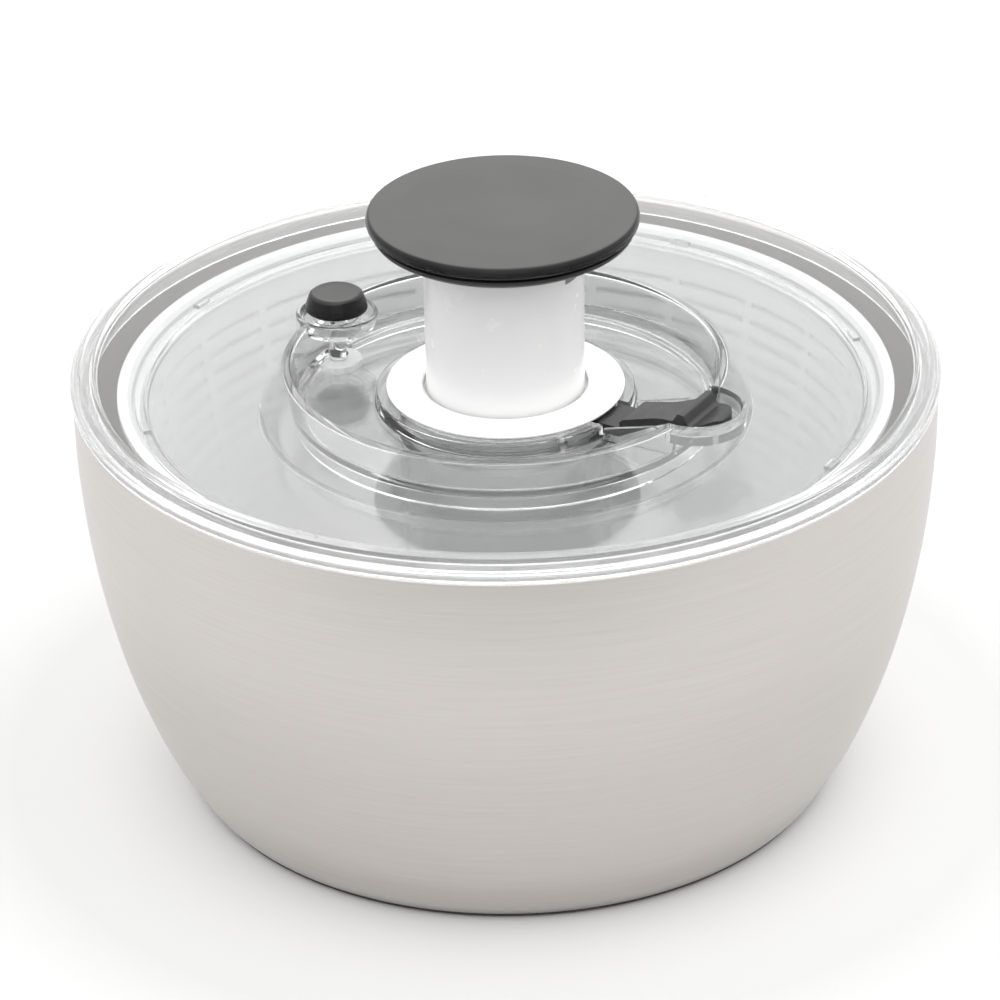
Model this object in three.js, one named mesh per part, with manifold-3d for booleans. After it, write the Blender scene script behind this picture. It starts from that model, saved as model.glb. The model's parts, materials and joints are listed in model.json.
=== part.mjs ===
// Salad spinner: a steel bowl, a slotted basket that turns in it, and a clear lid whose knob is pumped
// down and up. The knob pushes a nut along a twisted shaft, and the shaft turns the basket through a
// one-way clutch and a clear turntable under the lid. A button brakes the turntable and a lever locks the
// knob down.
// Millimetres, +Z up. The origin is the middle of the foot ring, on the table. +X runs through the lock
// lever, and the brake button is on -X.
import * as THREE from "three";
import { mergeVertices } from "three/addons/utils/BufferGeometryUtils.js";
import Module from "manifold-3d";

const wasm = await Module();
wasm.setup();

// Driving dimensions
const GAP = 0.3; // between pieces that touch
const FACETS_LARGE = 40; // sides of the bowl, basket, lid and turntable
const FACETS_MEDIUM = 24; // sides of the knob, collar, plunger and housing
const FACETS_SMALL = 12; // sides of screws, pins, bushes and the button

const FOOT_TOP = 1.3; // foot ring thickness
const FOOT_RADIUS = 101.6;
const BOWL_WALL = 0.9;
const BOWL_RADIUS = 133.5; // at its widest, just under the rim
const BOWL_TOP = 134.1;

const LID_RADIUS = 134.1;
const LID_SKIRT_BOTTOM = BOWL_TOP + 0.4;
const LID_CREST = 141.2; // the raised edge round the lid
const LID_PLATE = 139.2; // the flat top inside the crest
const LID_PLATE_THICK = 2.2;
const LID_PLATE_UNDER = LID_PLATE - LID_PLATE_THICK;
const WELL_RADIUS = 66.0; // the round well that the knob sinks into
const WELL_FLOOR = 125.5;
const WELL_FLOOR_UNDER = WELL_FLOOR - 2.2;
const WELL_LIP_BOTTOM = 120.0;

// Clear dish round the brake button, reaching out over the well
const DISH = { x: -61.5, radius: 13.0, bore: 10.6, stemHole: 3.2 };
const DISH_BOTTOM = 134.6;
const DISH_FLOOR = 136.6;
const DISH_RIM = 140.4;
// Pocket of the lock lever
const KEYHOLE = { x: 67.0, radius: 13.5, wall: 1.8, floor: 134.0, floorThick: 2.0 };

const PLUNGER_TRAVEL = 46.0;
const PLUNGER_RADIUS = 24.6;
const PLUNGER_WALL = 2.5;
const PLUNGER_BOTTOM = 122.0;
const PLUNGER_TOP = 181.5;
const PLUNGER_CROWN = PLUNGER_TOP - 2.9; // underside of the plunger's closed top
const KNOB_RADIUS = 41.9;
const KNOB_TOP = 190.0;
const COLLAR_RADIUS = 37.1;
const COLLAR_TOP = 131.2;
const COLLAR_UNDER = 129.7;

const HOUSING_BORE = 27.6;
const HOUSING_WALL = 2.0;
const HOUSING_BOTTOM = 68.0;
const HOUSING_FLOOR = 70.8;
const HOUSING_TOP = 129.2;

const LEAD = 32.0; // rise of the twisted shaft in one turn
const SHAFT_SIDE = 8.4; // width of its square section
const SHAFT_CHAMFER = 1.6;
const SHAFT_TOP = 127.5;
const SHAFT_TWIST_BOTTOM = 74.0;
const JOURNAL_RADIUS = 4.0;
const JOURNAL_BOTTOM = 57.0;
const DRIVE_FLAT = 3.0; // distance of the journal's flat from the axis

const BASKET_RIM_RADIUS = 121.0;
const BASKET_RIM_TOP = 130.8;
const BASKET_SEAT_RADIUS = 115.4; // inside its rim, where the turntable sits

const CUP_RADIUS = 33.0; // the turntable's middle, which holds the clutch
const CUP_WALL = 2.0;
const CUP_BOTTOM = 57.4;
const CLUTCH_BOTTOM = 61.6;
const CLUTCH_TOP = 66.2;

const BUTTON_RADIUS = 9.8;
const BUTTON_TOP = 147.3;
const BUTTON_BOTTOM = 141.5;
const BUTTON_ROOF = 144.0; // underside of the button's top
const STEM_HEAD = 142.4; // underside of the stem's broad head
const STEM_RADIUS = 2.6;
const BRAKE_TRAVEL = 4.6;
const BRAKE_TRACK = 115.0; // top of the turntable where the pad presses
const LEVER_TONGUE = { half: 3.5, bottom: 126.2, top: 129.0, tip: 28.2 };
const LOCK_SLOT = { half: 4.3, bottom: 125.4, top: 129.6 }; // room for the tongue
const LEVER_SHOULDER = { x: 36.8, half: 7.0 };

const RATCHET_TEETH = 24;
const TAB_COUNT = 8; // snap tabs round the turntable's rim
const HOUSING_SCREWS = [90, 210, 330]; // degrees
const COLLAR_PINS = [30, 150, 270]; // degrees
const FASTENER_CIRCLE = 33.0;

// Materials, by name
const finish = (color, roughness, metalness, opacity = 1) =>
  new THREE.MeshStandardMaterial({ color, roughness, metalness, opacity, transparent: opacity < 1 });
const materials = {
  steelBrushed: finish(0xc9c4bd, 0.35, 1.0),
  steel: finish(0xb9bbbd, 0.3, 1.0),
  clear: finish(0xe9eeee, 0.08, 0.0, 0.35),
  frosted: finish(0xf2f2ee, 0.45, 0.0, 0.85),
  white: finish(0xf4f4f1, 0.3, 0.0),
  black: finish(0x1c1c1d, 0.55, 0.0),
  charcoal: finish(0x4b4b4b, 0.5, 0.0),
  rubber: finish(0x2a2a2a, 0.85, 0.0),
  brass: finish(0xb5924c, 0.35, 1.0),
};

// Geometry helpers
const radians = THREE.MathUtils.degToRad;

function polar(radius, degrees) {
  return [radius * Math.cos(radians(degrees)), radius * Math.sin(radians(degrees))];
}

// A solid of revolution about Z. The outline is a list of [radius, height]. It starts and ends on the
// axis, or it is closed here into a ring.
function turned(outline, facets) {
  const closed = [...outline];
  const [first, last] = [outline[0], outline[outline.length - 1]];
  if (first[0] > 0 || last[0] > 0) closed.push(first);
  let doubledArea = 0;
  for (let i = 0; i < closed.length - 1; i++) {
    const [r0, z0] = closed[i];
    const [r1, z1] = closed[i + 1];
    doubledArea += r0 * z1 - r1 * z0;
  }
  if (doubledArea < 0) closed.reverse();
  const points = closed.map(([r, z]) => new THREE.Vector2(r, z));
  return new THREE.LatheGeometry(points, facets).rotateX(Math.PI / 2);
}

function cylinder(radius, bottom, top, facets, x = 0, y = 0) {
  return new THREE.CylinderGeometry(radius, radius, top - bottom, facets)
    .rotateX(Math.PI / 2)
    .translate(x, y, (top + bottom) / 2);
}

function block(x0, x1, y0, y1, z0, z1) {
  return new THREE.BoxGeometry(x1 - x0, y1 - y0, z1 - z0)
    .translate((x0 + x1) / 2, (y0 + y1) / 2, (z0 + z1) / 2);
}

// A flat outline of [x, y] points, raised along Z.
function raised(outline, bottom, top) {
  const shape = new THREE.Shape(outline.map(([x, y]) => new THREE.Vector2(x, y)));
  return new THREE.ExtrudeGeometry(shape, { depth: top - bottom, bevelEnabled: false })
    .translate(0, 0, bottom);
}

// A side view of [x, z] points, given a width along Y from y0 to y1.
function sideways(outline, y0, y1) {
  const shape = new THREE.Shape(outline.map(([x, z]) => new THREE.Vector2(x, z)));
  return new THREE.ExtrudeGeometry(shape, { depth: y1 - y0, bevelEnabled: false })
    .rotateX(Math.PI / 2)
    .translate(0, y1, 0);
}

function solid(geometry) {
  const bare = geometry.clone();
  bare.deleteAttribute("normal");
  bare.deleteAttribute("uv");
  const merged = mergeVertices(bare, 1e-4);
  const corners = merged.index.array;
  const kept = [];
  for (let i = 0; i < corners.length; i += 3) {
    const [a, b, c] = corners.slice(i, i + 3);
    if (a !== b && b !== c && c !== a) kept.push(a, b, c);
  }
  const vertProperties = new Float32Array(merged.attributes.position.array);
  return new wasm.Manifold(new wasm.Mesh({ numProp: 3, vertProperties, triVerts: new Uint32Array(kept) }));
}

function geometryOf(manifold) {
  const mesh = manifold.getMesh();
  const geometry = new THREE.BufferGeometry();
  geometry.setAttribute("position", new THREE.BufferAttribute(mesh.vertProperties, 3));
  geometry.setIndex(new THREE.BufferAttribute(mesh.triVerts, 1));
  geometry.computeVertexNormals();
  return geometry;
}

function joined(first, ...others) {
  return geometryOf(others.reduce((sum, geometry) => sum.add(solid(geometry)), solid(first)));
}

function cut(first, ...others) {
  return geometryOf(others.reduce((rest, geometry) => rest.subtract(solid(geometry)), solid(first)));
}

function common(first, second) {
  return geometryOf(solid(first).intersect(solid(second)));
}

// A coil about the line through (x, 0) along Z, which may narrow from radius to topRadius.
class Coil extends THREE.Curve {
  constructor(radius, topRadius, bottom, top, turns, x) {
    super();
    Object.assign(this, { radius, topRadius, bottom, top, turns, x });
  }
  getPoint(t, target = new THREE.Vector3()) {
    const angle = t * this.turns * 2 * Math.PI;
    const radius = this.radius + t * (this.topRadius - this.radius);
    const height = this.bottom + t * (this.top - this.bottom);
    return target.set(this.x + radius * Math.cos(angle), radius * Math.sin(angle), height);
  }
}

function coilSpring({ radius, topRadius = radius, wire, bottom, top, turns, steps, x = 0 }) {
  const path = new Coil(radius, topRadius, bottom + wire, top - wire, turns, x);
  const section = new THREE.Shape();
  section.absarc(0, 0, wire, 0, 2 * Math.PI);
  return new THREE.ExtrudeGeometry(section, {
    steps: turns * steps,
    curveSegments: 2,
    bevelEnabled: false,
    extrudePath: path,
  });
}

// The square bar of the drive shaft, twisted at its lead. grow widens it into the nut's clearance.
function twistedBar(bottom, top, grow) {
  const half = SHAFT_SIDE / 2 + grow;
  const corner = half - SHAFT_CHAMFER;
  const outline = [];
  for (const turn of [0, 90, 180, 270]) {
    for (const [x, y] of [[half, -corner], [half, corner]]) {
      const a = radians(turn);
      outline.push(new THREE.Vector2(x * Math.cos(a) - y * Math.sin(a), x * Math.sin(a) + y * Math.cos(a)));
    }
  }
  const steps = Math.ceil(((top - bottom) / LEAD) * 16);
  const bar = new THREE.ExtrudeGeometry(new THREE.Shape(outline), {
    depth: top - bottom,
    steps,
    bevelEnabled: false,
  }).translate(0, 0, bottom);
  const position = bar.attributes.position;
  const point = new THREE.Vector3();
  const axis = new THREE.Vector3(0, 0, 1);
  for (let i = 0; i < position.count; i++) {
    point.fromBufferAttribute(position, i);
    point.applyAxisAngle(axis, (point.z / LEAD) * 2 * Math.PI);
    position.setXYZ(i, point.x, point.y, point.z);
  }
  return bar;
}

// A pan-head screw along Z: the head's underside is at seat, the shank ends at tip. up is 1 where the head
// is above its seat, -1 where it is below.
function screw({ seat, tip, head, shank, headHigh, up, x = 0, y = 0 }) {
  const crown = seat + up * headHigh;
  return turned(
    [[0, tip], [shank * 0.6, tip], [shank, tip + (up * shank) / 2], [shank, seat], [head, seat],
      [head, seat + up * headHigh * 0.6], [head * 0.75, crown], [0, crown]],
    FACETS_SMALL,
  ).translate(x, y, 0);
}

const root = new THREE.Group();

function place(name, geometry, material) {
  const mesh = new THREE.Mesh(geometry, material);
  mesh.name = name;
  root.add(mesh);
}

// Bowl, foot ring and the pin that the basket turns on

const bowlOutside = [
  [100.4, 1.6], [104.4, 4.2], [112.6, 19], [118.8, 35], [125.1, 56], [130.3, 82], [BOWL_RADIUS, 118],
  [BOWL_RADIUS, BOWL_TOP - 0.6], [BOWL_RADIUS - 0.6, BOWL_TOP],
];
const bowlInside = bowlOutside
  .slice(0, -3)
  .map(([r, z]) => [r - BOWL_WALL * 1.1, z + (z < 40 ? BOWL_WALL : 0.2)])
  .reverse();
const bowlBead = [
  [BOWL_RADIUS - 2.3, BOWL_TOP], [BOWL_RADIUS - 2.3, BOWL_TOP - 2.4], [BOWL_RADIUS - 1.0, BOWL_TOP - 3.2],
];
const BOWL_FLOOR = 1.6 + BOWL_WALL;
place(
  "bowl",
  turned([[0, 1.6], ...bowlOutside, ...bowlBead, ...bowlInside, [0, BOWL_FLOOR]], FACETS_LARGE),
  materials.steelBrushed,
);

place(
  "foot_ring",
  turned(
    [[91, 0], [FOOT_RADIUS - 0.8, 0], [FOOT_RADIUS, 0.6], [FOOT_RADIUS, FOOT_TOP], [91, FOOT_TOP]],
    FACETS_LARGE,
  ),
  materials.rubber,
);

const PIN_TOP = 13.6;
place(
  "basket_pin",
  turned(
    [[0, BOWL_FLOOR + GAP], [10, BOWL_FLOOR + GAP], [10, 4.0], [4.6, 5.0], [3.2, 6.4], [3.2, PIN_TOP - 1.4],
      [1.8, PIN_TOP - 0.2], [0, PIN_TOP]],
    FACETS_SMALL,
  ),
  materials.steel,
);

// Basket: a slotted tub whose socket stands on the pin and whose rim carries the turntable

const BASKET_LEDGE = 126.2; // the turntable's rim rests here
const basketOutside = [
  [84, 8.5], [91, 11.5], [98.5, 25], [108, 68], [114.2, 122.5], [117, 125.2], [117.2, BASKET_RIM_TOP - 1.6],
  [BASKET_RIM_RADIUS, BASKET_RIM_TOP - 1.6], [BASKET_RIM_RADIUS, BASKET_RIM_TOP],
];
const basketInside = [
  [BASKET_SEAT_RADIUS, BASKET_RIM_TOP], [BASKET_SEAT_RADIUS, BASKET_LEDGE], [112.6, BASKET_LEDGE - 0.2],
  [106.2, 68], [96.8, 25.5], [90, 13.4], [83.4, 10.4],
];
const basketSocket = [[9, 10.4], [7, 16], [0, 16.4]];
const basketUnder = [[0, PIN_TOP + 0.4], [3.9, PIN_TOP + 0.4], [3.9, 8.5]];

function basketSlots() {
  const slots = [];
  const rows = [{ z: 42, radius: 101 }, { z: 68, radius: 107 }, { z: 94, radius: 110 }];
  const perRow = 8;
  const half = { depth: 12, width: 20, height: 3 };
  for (const [row, { z, radius }] of rows.entries()) {
    for (let i = 0; i < perRow; i++) {
      const turn = ((i + (row % 2) / 2) / perRow) * 2 * Math.PI;
      const across = [radius - half.depth, radius + half.depth, -half.width, half.width];
      slots.push(block(...across, z - half.height, z + half.height).rotateZ(turn));
    }
  }
  return slots;
}
place(
  "basket",
  cut(
    turned([...basketUnder, ...basketOutside, ...basketInside, ...basketSocket], FACETS_LARGE),
    ...basketSlots(),
  ),
  materials.frosted,
);

// Lid cover: one clear moulding with the crest, plate, well, button dish and lever pocket

function lidShell() {
  const crestAndSkirt = [
    [128.2, LID_PLATE_UNDER], [128.2, 129.8], [130, 129.8], [130, LID_PLATE_UNDER],
    [131.8, LID_PLATE_UNDER - 0.6], [131.8, LID_SKIRT_BOTTOM], [LID_RADIUS, LID_SKIRT_BOTTOM],
    [LID_RADIUS, 137.8], [133.2, 139.2],
    [130.8, LID_CREST - 0.5], [129.4, LID_CREST], [127, LID_CREST], [125.6, LID_PLATE],
  ];
  const well = [
    [WELL_RADIUS + 0.6, LID_PLATE], [WELL_RADIUS, LID_PLATE - 0.6], [WELL_RADIUS - 1.2, WELL_FLOOR + 2],
    [WELL_RADIUS - 3.2, WELL_FLOOR], [40.4, WELL_FLOOR], [40, 129.4], [36, 129.4], [36, 126.7],
    [30.2, 126.7], [30.2, WELL_FLOOR_UNDER], [62.4, WELL_FLOOR_UNDER], [63.8, WELL_LIP_BOTTOM],
    [66.2, WELL_LIP_BOTTOM], [68.2, LID_PLATE_UNDER],
  ];
  return turned([...crestAndSkirt, ...well], FACETS_LARGE);
}

function lidCover() {
  const inWell = cylinder(WELL_RADIUS - 0.6, 100, 150, FACETS_LARGE);
  const pocketRadius = KEYHOLE.radius + KEYHOLE.wall;
  const pocketBottom = KEYHOLE.floor - KEYHOLE.floorThick;
  const pocketBody = cut(
    cylinder(pocketRadius, pocketBottom, LID_PLATE - 1, FACETS_MEDIUM, KEYHOLE.x),
    inWell,
  );
  const dish = cylinder(DISH.radius, DISH_BOTTOM, DISH_RIM, FACETS_MEDIUM, DISH.x);
  // Two side rails guide the lever across the well, rising with it from the boss to the pocket.
  const railSide = [[41, WELL_FLOOR - 1], [64.4, WELL_FLOOR - 1], [64.4, 136.5], [58, 134.5], [41, 129.4]];
  const rails = [-1, 1].map((side) => sideways(railSide, side * 10.4 - 0.7, side * 10.4 + 0.7));
  const screwHoles = HOUSING_SCREWS.map((degrees) =>
    cylinder(1.5, 120, 130, FACETS_SMALL, ...polar(FASTENER_CIRCLE, degrees)));
  return cut(
    joined(lidShell(), pocketBody, dish, ...rails),
    cylinder(KEYHOLE.radius, KEYHOLE.floor, 150, FACETS_MEDIUM, KEYHOLE.x),
    cylinder(DISH.bore, DISH_FLOOR, 150, FACETS_MEDIUM, DISH.x),
    cylinder(DISH.stemHole, 110, 150, FACETS_SMALL, DISH.x),
    cylinder(8.8, 110, WELL_FLOOR_UNDER, FACETS_SMALL, DISH.x), // room for the brake pad
    block(29, 42, -LEVER_SHOULDER.half - 1.4, LEVER_SHOULDER.half + 1.4, 125.8, 135), // the lever's way in
    ...screwHoles,
  );
}
place("lid_cover", lidCover(), materials.clear);

// Mechanism housing: a deep cup under the lid, with two ribs that stop the plunger turning

const HOUSING_RADIUS = HOUSING_BORE + HOUSING_WALL;
const housingFlange = [
  [HOUSING_BORE, HOUSING_TOP], [35.7, HOUSING_TOP], [35.7, 127], [HOUSING_RADIUS, 127],
];
const housingCup = [
  [HOUSING_RADIUS, HOUSING_BOTTOM], [7, HOUSING_BOTTOM], [7, HOUSING_FLOOR], [HOUSING_BORE, HOUSING_FLOOR],
];

function housing() {
  const ribs = [-1, 1].map((side) =>
    block(-1.5, 1.5, side * 26.9 - 1.5, side * 26.9 + 1.5, HOUSING_FLOOR - 1, 128));
  const counterbores = HOUSING_SCREWS.map((degrees) =>
    cylinder(2.4, 127.9, 131, FACETS_SMALL, ...polar(FASTENER_CIRCLE, degrees)));
  const shankHoles = HOUSING_SCREWS.map((degrees) =>
    cylinder(1.6, 125, 131, FACETS_SMALL, ...polar(FASTENER_CIRCLE, degrees)));
  const pinHoles = COLLAR_PINS.map((degrees) =>
    cylinder(1.3, 125, 131, FACETS_SMALL, ...polar(FASTENER_CIRCLE, degrees)));
  return cut(
    joined(turned([...housingFlange, ...housingCup], FACETS_MEDIUM), ...ribs),
    block(24, 40, -LOCK_SLOT.half, LOCK_SLOT.half, LOCK_SLOT.bottom, 135), // window for the lever's tongue
    block(30.3, 40, -LEVER_SHOULDER.half - 0.6, LEVER_SHOULDER.half + 0.6, LOCK_SLOT.bottom, 135),
    ...counterbores,
    ...shankHoles,
    ...pinHoles,
  );
}
place("mechanism_housing", housing(), materials.frosted);

for (const [i, degrees] of HOUSING_SCREWS.entries()) {
  const [x, y] = polar(FASTENER_CIRCLE, degrees);
  const shape = { seat: 128.2, tip: 123.8, head: 2.0, shank: 1.2, headHigh: 1.0, up: 1, x, y };
  place(`housing_screw_${i + 1}`, screw(shape), materials.steel);
}

const collarRing = turned(
  [[25.6, COLLAR_UNDER], [COLLAR_RADIUS - 0.6, COLLAR_UNDER], [COLLAR_RADIUS, COLLAR_UNDER + 0.5],
    [COLLAR_RADIUS - 0.5, COLLAR_TOP], [26.4, COLLAR_TOP], [25.6, COLLAR_TOP - 0.6]],
  FACETS_MEDIUM,
);
const collarPins = COLLAR_PINS.map((degrees) =>
  cylinder(1.0, 127.4, COLLAR_UNDER + 0.5, 8, ...polar(FASTENER_CIRCLE, degrees)));
place("collar", joined(collarRing, ...collarPins), materials.white);

// Plunger: the white tube and black knob, with the nut that drives the shaft

// Slots for the lever's tongue: the lower one with the knob up, the upper one with the knob down.
const lockSlot = (raise) =>
  block(15, 30, -LOCK_SLOT.half, LOCK_SLOT.half, LOCK_SLOT.bottom + raise, LOCK_SLOT.top + raise);

function plungerTube() {
  const bore = PLUNGER_RADIUS - PLUNGER_WALL;
  const tube = turned(
    [[bore, PLUNGER_BOTTOM], [PLUNGER_RADIUS, PLUNGER_BOTTOM], [PLUNGER_RADIUS, 126.6], [27.2, 126.6],
      [27.2, 129.2], [PLUNGER_RADIUS, 129.2], [PLUNGER_RADIUS, PLUNGER_TOP], [2, PLUNGER_TOP],
      [2, PLUNGER_CROWN], [bore, PLUNGER_CROWN]],
    FACETS_MEDIUM,
  );
  const ribNotches = [-1, 1].map((side) => block(-2, 2, side * 27 - 2, side * 27 + 2, 126, 130));
  return cut(tube, lockSlot(0), lockSlot(PLUNGER_TRAVEL), ...ribNotches);
}
place("plunger_tube", plungerTube(), materials.white);

const NUT_TOP = PLUNGER_CROWN - GAP;
const NUT_BOTTOM = 121.0;
const NUT_THREAD = 6.5; // height of the twisted hole
function driveNut() {
  const sleeve = turned(
    [[0, NUT_TOP], [18, NUT_TOP], [18, NUT_TOP - 2.2], [10, NUT_TOP - 2.6], [10, NUT_BOTTOM],
      [0, NUT_BOTTOM]],
    FACETS_MEDIUM,
  );
  return cut(
    sleeve,
    cylinder(7.4, NUT_BOTTOM + NUT_THREAD, NUT_TOP - 4.5, FACETS_SMALL),
    twistedBar(NUT_BOTTOM - 1, NUT_BOTTOM + NUT_THREAD + 1, 0.4),
    cylinder(1.6, NUT_TOP - 5, NUT_TOP + 1, FACETS_SMALL),
  );
}
place("drive_nut", driveNut(), materials.white);
place(
  "nut_screw",
  screw({ seat: PLUNGER_TOP + GAP, tip: NUT_TOP - 4.2, head: 3.4, shank: 1.3, headHigh: 1.8, up: 1 }),
  materials.steel,
);

const KNOB_DECK = 184.2; // where the cap meets the underside disc
place(
  "knob_base",
  turned(
    [[PLUNGER_RADIUS + GAP, 180], [36, 180.2], [39, 181.8], [40.4, 183.4], [40.4, KNOB_DECK - GAP],
      [6, KNOB_DECK - GAP], [6, PLUNGER_TOP + GAP], [PLUNGER_RADIUS + GAP, PLUNGER_TOP + GAP]],
    FACETS_MEDIUM,
  ),
  materials.charcoal,
);
place(
  "knob_cap",
  turned(
    [[0, KNOB_DECK + 0.4], [40, KNOB_DECK + 0.4], [41, KNOB_DECK + 0.6], [KNOB_RADIUS - 0.3, 186],
      [KNOB_RADIUS, 187.4], [KNOB_RADIUS - 0.3, 188.4], [40.6, 189.1], [32, 189.7], [16, KNOB_TOP - 0.05],
      [0, KNOB_TOP]],
    FACETS_MEDIUM,
  ),
  materials.black,
);

const SPRING_BOTTOM = HOUSING_FLOOR + GAP;
const SPRING_TOP = NUT_TOP - 2.6 - GAP;
place(
  "return_spring",
  coilSpring({ radius: 15, wire: 0.9, bottom: SPRING_BOTTOM, top: SPRING_TOP, turns: 7, steps: 10 }),
  materials.steel,
);

// Drive shaft, its bearing in the housing, and the driver of the one-way clutch

function driveShaft() {
  const flange = turned(
    [[0, JOURNAL_BOTTOM], [JOURNAL_RADIUS, JOURNAL_BOTTOM], [JOURNAL_RADIUS, 71.9], [7.5, 71.9],
      [7.5, 73.4], [5, SHAFT_TWIST_BOTTOM + 0.5], [0, SHAFT_TWIST_BOTTOM + 0.5]],
    FACETS_SMALL,
  );
  return cut(
    joined(flange, twistedBar(SHAFT_TWIST_BOTTOM - 0.5, SHAFT_TOP, 0)),
    block(DRIVE_FLAT, 6, -6, 6, 50, 66.6), // the flat that carries the clutch driver
    cylinder(1.8, 50, 67, 12), // screw hole
  );
}
place("drive_shaft", driveShaft(), materials.steel);

place(
  "thrust_washer",
  turned([[4.4, 71.1], [8.6, 71.1], [8.6, 71.6], [4.4, 71.6]], FACETS_SMALL),
  materials.brass,
);
place(
  "shaft_bush",
  turned(
    [[4.4, 67], [8.8, 67], [8.8, 67.7], [6.7, 67.7], [6.7, HOUSING_FLOOR - 0.1],
      [4.4, HOUSING_FLOOR - 0.1]],
    FACETS_SMALL,
  ),
  materials.brass,
);

const ARM = { root: 10.0, tip: 22.9, sweep: 78, steps: 8 };
// Three curved arms reach out from the driver's hub and end just inside the ratchet's teeth.
function clutchDriver() {
  const arms = [0, 120, 240].map((start) => {
    const outer = [];
    const inner = [];
    for (let i = 0; i <= ARM.steps; i++) {
      const t = i / ARM.steps;
      const radius = ARM.root + (ARM.tip - ARM.root) * Math.pow(t, 0.7);
      outer.push(polar(radius, start + ARM.sweep * t));
      inner.push(polar(radius - 2.6 + 0.6 * t, start + ARM.sweep * t));
    }
    return raised([...outer, ...inner.reverse()], CLUTCH_BOTTOM, CLUTCH_TOP);
  });
  const hub = cylinder(10.2, CLUTCH_BOTTOM, CLUTCH_TOP, FACETS_MEDIUM);
  const bore = cut(
    cylinder(JOURNAL_RADIUS + GAP, CLUTCH_BOTTOM - 1, CLUTCH_TOP + 1, FACETS_SMALL),
    block(DRIVE_FLAT + GAP, 8, -6, 6, CLUTCH_BOTTOM - 2, CLUTCH_TOP + 2),
  );
  return cut(joined(hub, ...arms), bore);
}
place("clutch_driver", clutchDriver(), materials.white);

place(
  "shaft_washer",
  turned([[1.8, 55.9], [9, 55.9], [9, 56.7], [1.8, 56.7]], FACETS_SMALL),
  materials.steel,
);
place(
  "shaft_screw",
  screw({ seat: 55.6, tip: 65.5, head: 3.2, shank: 1.4, headHigh: 1.9, up: -1 }),
  materials.steel,
);

// Turntable: the clear disc under the lid, which turns on the journal and carries the basket's rim

function turntable() {
  const rim = BASKET_SEAT_RADIUS - 0.6;
  const cupInside = CUP_RADIUS - CUP_WALL;
  const disc = turned(
    [[4.3, CUP_BOTTOM + 3], [cupInside, CUP_BOTTOM + 3], [cupInside, BRAKE_TRACK], [70.6, BRAKE_TRACK],
      [75.6, 122.6], [110.6, 126.4], [111.4, 129.0], [rim, 129.0], [rim, 126.8], [112.0, 126.8],
      [111.4, 124.6], [76.6, 120.8], [71.8, BRAKE_TRACK - 2], [CUP_RADIUS, BRAKE_TRACK - 2],
      [CUP_RADIUS, CUP_BOTTOM + 2], [cupInside, CUP_BOTTOM], [4.3, CUP_BOTTOM]],
    FACETS_LARGE,
  );
  const tabs = [];
  for (let i = 0; i < TAB_COUNT; i++) {
    tabs.push(block(112, 114.4, -3, 3, 128.6, 130.2).rotateZ((i / TAB_COUNT) * 2 * Math.PI));
  }
  return joined(disc, ...tabs);
}
place("turntable", turntable(), materials.clear);

// Internal saw teeth, two radii to a tooth
function ratchetRing() {
  const root = 26.2;
  const crest = 23.6;
  const pitch = 360 / RATCHET_TEETH;
  const teeth = [];
  for (let i = 0; i < RATCHET_TEETH; i++) {
    teeth.push(new THREE.Vector2(...polar(root, i * pitch)));
    teeth.push(new THREE.Vector2(...polar(crest, i * pitch + 1.5)));
  }
  const ring = new THREE.Shape();
  ring.absarc(0, 0, 30.6, 0, 2 * Math.PI);
  ring.holes.push(new THREE.Path(teeth));
  return new THREE.ExtrudeGeometry(ring, { depth: 5.8, bevelEnabled: false, curveSegments: 20 })
    .translate(0, 0, 60.8);
}
place("ratchet_ring", ratchetRing(), materials.white);

place(
  "hub_cap",
  turned(
    [[0, 50.5], [8, 50.8], [11.4, 52.6], [12.4, 57.1], [11, 57.1], [10.2, 53.6], [7.6, 52.2], [0, 51.9]],
    FACETS_SMALL,
  ),
  materials.white,
);

// Brake button, its stem, pad and spring

const buttonAt = (geometry) => geometry.translate(DISH.x, 0, 0);
place(
  "brake_button",
  buttonAt(turned(
    [[0, BUTTON_TOP], [7.2, BUTTON_TOP - 0.1], [8.4, BUTTON_TOP - 1.1], [9.6, BUTTON_BOTTOM + 1.5],
      [BUTTON_RADIUS, BUTTON_BOTTOM], [8.6, BUTTON_BOTTOM], [8.6, BUTTON_ROOF], [0, BUTTON_ROOF]],
    FACETS_MEDIUM,
  )),
  materials.black,
);
const PAD_TOP = WELL_FLOOR_UNDER - 0.4;
const PAD_BOTTOM = BRAKE_TRACK + BRAKE_TRAVEL + GAP;
place(
  "brake_stem",
  buttonAt(turned(
    [[0, BUTTON_ROOF - GAP], [8.3, BUTTON_ROOF - GAP], [8.3, STEM_HEAD], [STEM_RADIUS, STEM_HEAD],
      [STEM_RADIUS, PAD_TOP - 1.5], [0, PAD_TOP - 1.5]],
    FACETS_SMALL,
  )),
  materials.clear,
);
place(
  "brake_pad",
  buttonAt(turned(
    [[0, PAD_BOTTOM], [6.8, PAD_BOTTOM], [7.5, PAD_BOTTOM + 0.6], [7.5, PAD_TOP],
      [STEM_RADIUS + 0.4, PAD_TOP], [STEM_RADIUS + 0.4, PAD_TOP - 1.8], [0, PAD_TOP - 1.8]],
    FACETS_SMALL,
  )),
  materials.rubber,
);
place(
  "button_spring",
  coilSpring({
    radius: 7.8,
    topRadius: 5.0,
    wire: 0.3,
    bottom: DISH_FLOOR + GAP,
    top: STEM_HEAD - GAP,
    turns: 3,
    steps: 12,
    x: DISH.x,
  }),
  materials.steel,
);

// Lock lever: a tongue under the collar, a ramp across the well, and a finger tab in the lid's pocket

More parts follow.
